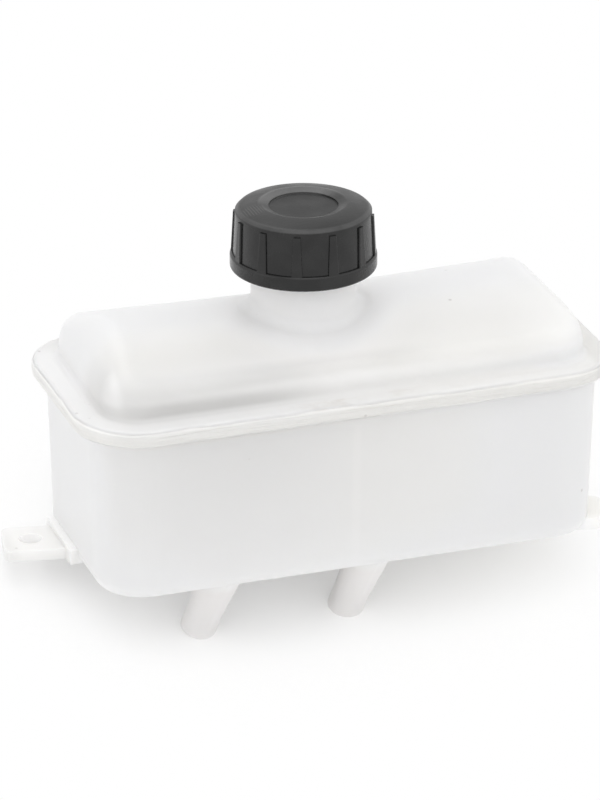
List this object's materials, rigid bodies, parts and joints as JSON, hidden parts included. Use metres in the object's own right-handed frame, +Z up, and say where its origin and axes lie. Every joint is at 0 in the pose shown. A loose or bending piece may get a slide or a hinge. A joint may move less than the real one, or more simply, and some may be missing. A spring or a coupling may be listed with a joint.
{
  "type": "brake fluid reservoir",
  "caption": "Translucent twin-chamber tank with a welded arched lid, a ribbed dark screw cap on an off-centre neck, angled hose spigots below and fixing lugs at its ends",
  "frame": {"origin": "centre of the screw hole in the left lug, at the lug's underside, which is level with the tank's flat bottom", "axes": "+X along the tank from the screw lug to the tongue, +Y to the back wall, the side that the spigots lean towards, +Z up along the neck"},
  "size_m": [0.1749, 0.0758, 0.1245],
  "materials": {
    "tank_plastic": "satin, translucent",
    "cap_plastic": "satin black",
    "seal_rubber": "matt black"
  },
  "bodies": {
    "tank": {"tub": "tank_plastic", "lid": "tank_plastic"},
    "seal": {"cap_seal": "seal_rubber"},
    "cap": {"cap": "cap_plastic"}
  },
  "joints": [
    {"name": "cap_lift", "type": "slide", "parent": "tank", "child": "seal", "axis": [0, 0, 1], "range_m": [0, 0.014]},
    {"name": "cap_turn", "type": "hinge", "parent": "seal", "child": "cap", "pos_m": [0.0794, -0.01102, 0.0974], "axis": [0, 0, 1], "range_deg": [0, 1260]}
  ],
  "couplings": [
    {"joint": "cap_lift", "follows": "cap_turn", "m_per_rad": 0.00063661}
  ]
}
